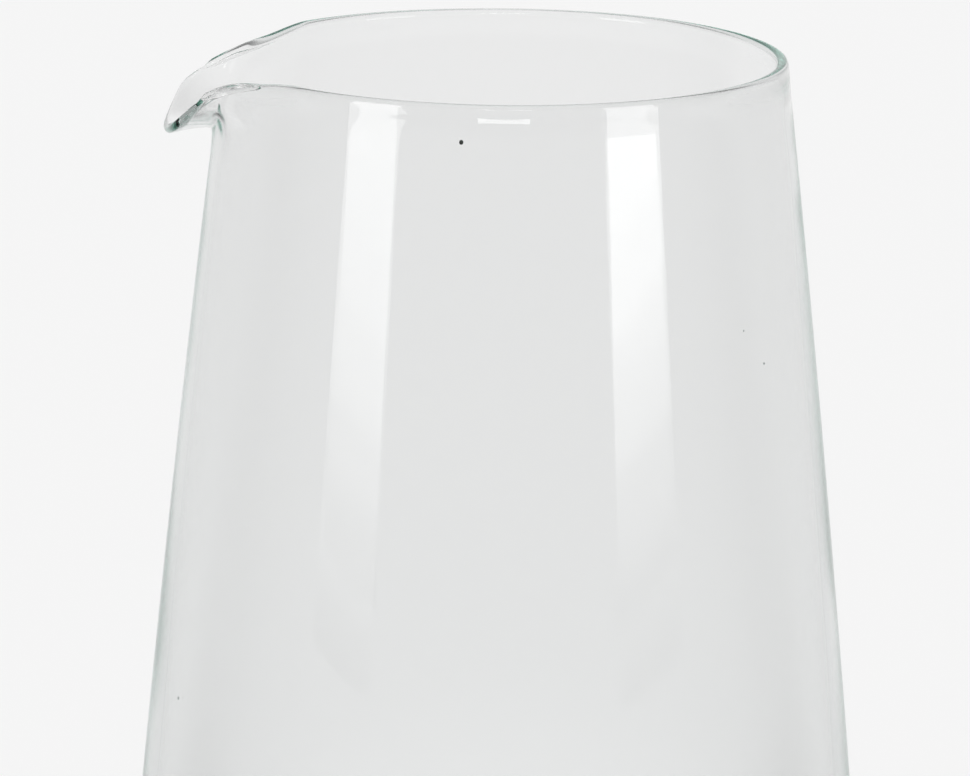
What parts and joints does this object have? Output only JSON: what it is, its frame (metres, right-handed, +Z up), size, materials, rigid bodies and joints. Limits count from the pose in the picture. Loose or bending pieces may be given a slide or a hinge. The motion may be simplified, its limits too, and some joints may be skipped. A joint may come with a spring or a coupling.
{
  "type": "glass carafe",
  "caption": "Open conical carafe of pale green blown glass with a thick pushed-up floor, a fire-polished rim and a broad pouring lip folded out of the wall.",
  "frame": {"origin": "middle of the ring that the carafe stands on, on the table's surface", "axes": "+Z up along the carafe's axis; the pouring lip points to -X, so -Y is the side that the picture shows"},
  "size_m": [0.118, 0.118, 0.205],
  "materials": {
    "glass": "clear pale green, fire-polished"
  },
  "bodies": {
    "root": {"base_floor": "glass", "heel": "glass", "body_wall": "glass", "rim": "glass", "spout": "glass"}
  },
  "joints": []
}
